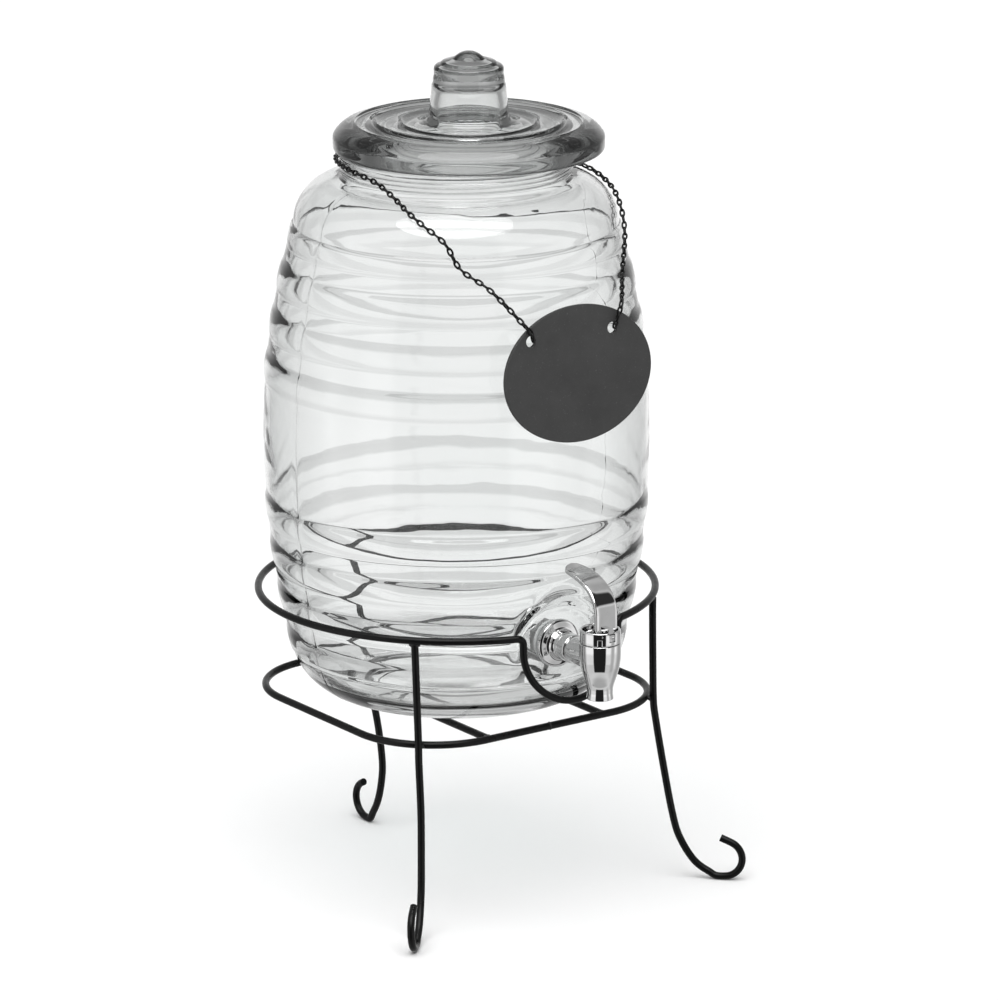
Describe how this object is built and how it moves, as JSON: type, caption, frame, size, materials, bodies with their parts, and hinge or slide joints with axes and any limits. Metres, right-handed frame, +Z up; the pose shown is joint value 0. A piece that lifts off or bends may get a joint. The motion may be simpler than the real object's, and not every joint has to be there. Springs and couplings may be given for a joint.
{
  "type": "beverage dispenser",
  "caption": "Barrel-shaped glass drink jar with a lift-off lid, chrome lever faucet and hanging oval sign, standing in a three-legged black wire stand.",
  "frame": {"origin": "on the floor under the middle of the whole object's box", "axes": "+Z up along the jar's axis; -Y is the way the faucet points"},
  "size_m": [0.2476, 0.2825, 0.5094],
  "materials": {
    "stand_wire": "satin black powder coat",
    "clear_glass": "clear moulded soda glass",
    "faucet_chrome": "polished",
    "steel": "plain",
    "black_rubber": "matte",
    "silicone": "translucent matte",
    "chalkboard": "matte chalkboard paint",
    "black_chain": "satin black"
  },
  "bodies": {
    "stand": {"stand_upper_ring": "stand_wire", "stand_lower_frame": "stand_wire", "stand_crossbar_left": "stand_wire", "stand_crossbar_right": "stand_wire", "stand_leg_front_left": "stand_wire", "stand_leg_front_right": "stand_wire", "stand_leg_back": "stand_wire"},
    "jar": {"jar": "clear_glass", "faucet_body": "faucet_chrome", "escutcheon": "faucet_chrome", "bonnet": "faucet_chrome", "lever_pin": "steel", "closing_spring": "steel", "outer_gasket": "black_rubber", "inner_washer": "silicone", "shank_nut": "steel", "sign_chain": "black_chain"},
    "lid": {"lid": "clear_glass"},
    "lever": {"lever": "faucet_chrome"},
    "valve": {"valve_stem": "steel", "seat_cup": "silicone"},
    "sign": {"sign": "chalkboard"}
  },
  "joints": [
    {"name": "jar_lift", "type": "slide", "parent": "stand", "child": "jar", "axis": [0, 0, 1], "range_m": [0, 0.12]},
    {"name": "lid_lift", "type": "slide", "parent": "jar", "child": "lid", "axis": [0, 0, 1], "range_m": [0, 0.08]},
    {"name": "lever_tilt", "type": "hinge", "parent": "jar", "child": "lever", "pos_m": [0, -0.13883, 0.185], "axis": [1, 0, 0], "range_deg": [0, 35], "stiffness_Nm_per_rad": 0.08, "springref_deg": -17.19},
    {"name": "valve_lift", "type": "slide", "parent": "jar", "child": "valve", "axis": [0, 0, 1], "range_m": [0, 0.0062], "deforming": ["closing_spring"]},
    {"name": "sign_tilt", "type": "hinge", "parent": "jar", "child": "sign", "pos_m": [0, -0.10253, 0.3608], "axis": [-1, 0, 0], "range_deg": [0, 25]}
  ],
  "couplings": [
    {"joint": "valve_lift", "follows": "lever_tilt", "m_per_rad": 0.01}
  ]
}
